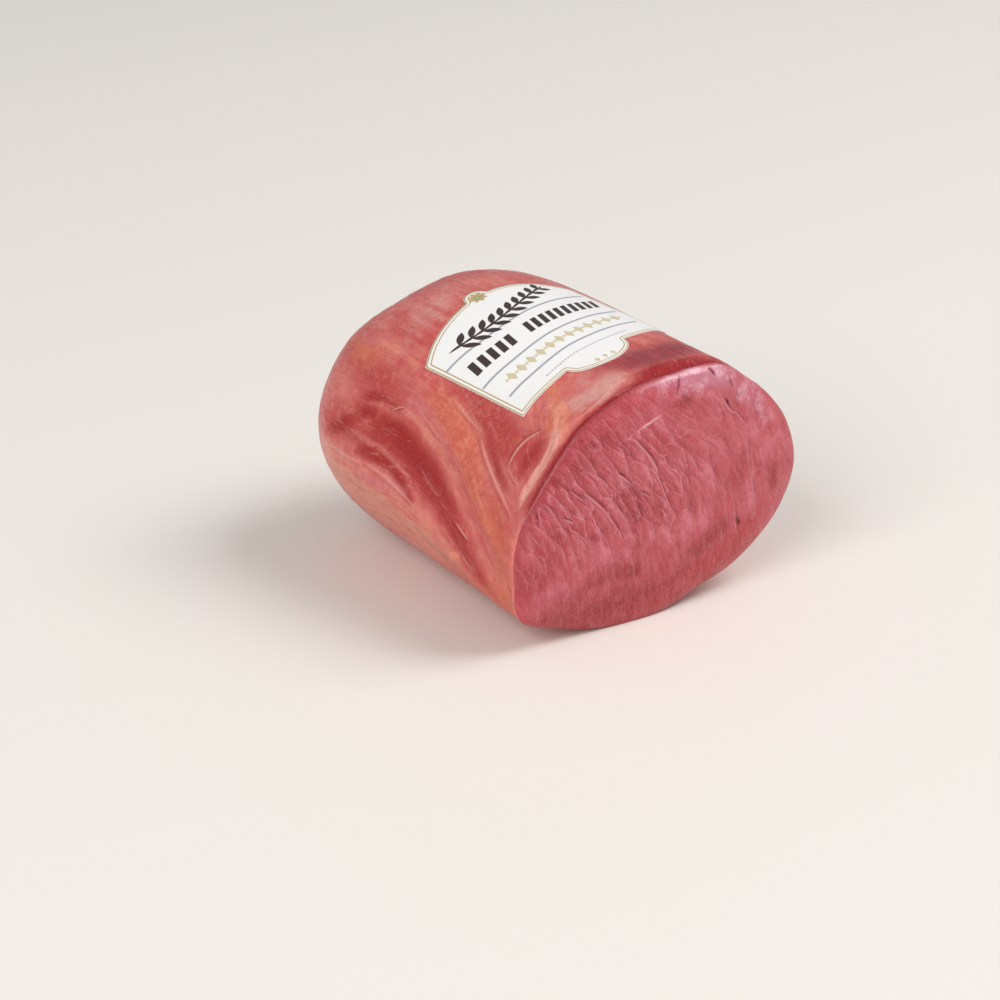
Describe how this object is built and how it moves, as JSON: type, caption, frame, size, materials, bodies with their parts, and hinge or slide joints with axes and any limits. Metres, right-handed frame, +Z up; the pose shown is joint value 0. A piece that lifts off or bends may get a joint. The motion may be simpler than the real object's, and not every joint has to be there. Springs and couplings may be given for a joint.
{
  "type": "smoked beef joint",
  "caption": "Blunt rounded piece of cooked smoked beef with a swelling cut face, a furrowed reddish skin and a paper label wrapped over its top",
  "frame": {"origin": "centre of the underside's bounding rectangle, on the surface the piece rests on", "axes": "+X across the cut face to the right as the cut is faced, +Y from the cut face to the rounded far end, +Z up"},
  "size_m": [0.1534, 0.1666, 0.1124],
  "materials": {
    "meat": "moist smoked beef, satin to glossy",
    "label_paper": "smooth coated paper, satin"
  },
  "bodies": {
    "root": {"beef": "meat", "label": "label_paper"}
  },
  "joints": []
}
